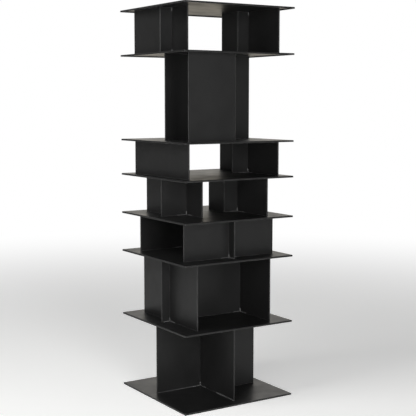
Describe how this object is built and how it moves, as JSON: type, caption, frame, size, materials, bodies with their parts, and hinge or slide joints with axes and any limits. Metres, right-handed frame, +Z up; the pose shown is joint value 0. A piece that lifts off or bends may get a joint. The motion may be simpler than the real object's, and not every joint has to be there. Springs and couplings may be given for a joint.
{
  "type": "tower bookcase",
  "caption": "Free-standing tower bookcase: square steel plates held one above another by upright steel sheets, with open bays on every side.",
  "frame": {"origin": "centre of the base plate's underside, on the floor", "axes": "+Z up; -Y is the front and -X the left; the plates' sides lie along X and Y"},
  "size_m": [0.6, 0.6, 1.848],
  "materials": {
    "plate_coat": "satin black powder coat",
    "upright_coat": "satin black powder coat",
    "weld_coat": "satin black powder coat over weld"
  },
  "bodies": {
    "root": {"base_plate": "plate_coat", "shelf_1": "plate_coat", "shelf_2": "plate_coat", "shelf_3": "plate_coat", "shelf_4": "plate_coat", "shelf_5": "plate_coat", "shelf_6": "plate_coat", "top_plate": "plate_coat", "tier1_spine": "upright_coat", "tier1_left_fin": "upright_coat", "tier1_right_fin": "upright_coat", "tier2_spine": "upright_coat", "tier2_left_side": "upright_coat", "tier2_right_side": "upright_coat", "tier3_spine": "upright_coat", "tier3_front_side": "upright_coat", "tier3_back_side": "upright_coat", "tier4_left_cross": "upright_coat", "tier4_left_half": "upright_coat", "tier4_left_short": "upright_coat", "tier4_right_cross": "upright_coat", "tier4_right_half": "upright_coat", "tier4_right_short": "upright_coat", "tier5_left_side": "upright_coat", "tier5_left_fin": "upright_coat", "tier5_right_side": "upright_coat", "tier5_right_fin": "upright_coat", "tier6_front": "upright_coat", "tier6_spine": "upright_coat", "tier6_wing": "upright_coat", "tier7_left_cross": "upright_coat", "tier7_left_half": "upright_coat", "tier7_left_short": "upright_coat", "tier7_right_cross": "upright_coat", "tier7_right_half": "upright_coat", "tier7_right_short": "upright_coat", "tier1_welds": "weld_coat", "tier2_welds": "weld_coat", "tier3_welds": "weld_coat", "tier4_welds": "weld_coat", "tier5_welds": "weld_coat", "tier6_welds": "weld_coat", "tier7_welds": "weld_coat"}
  },
  "joints": []
}
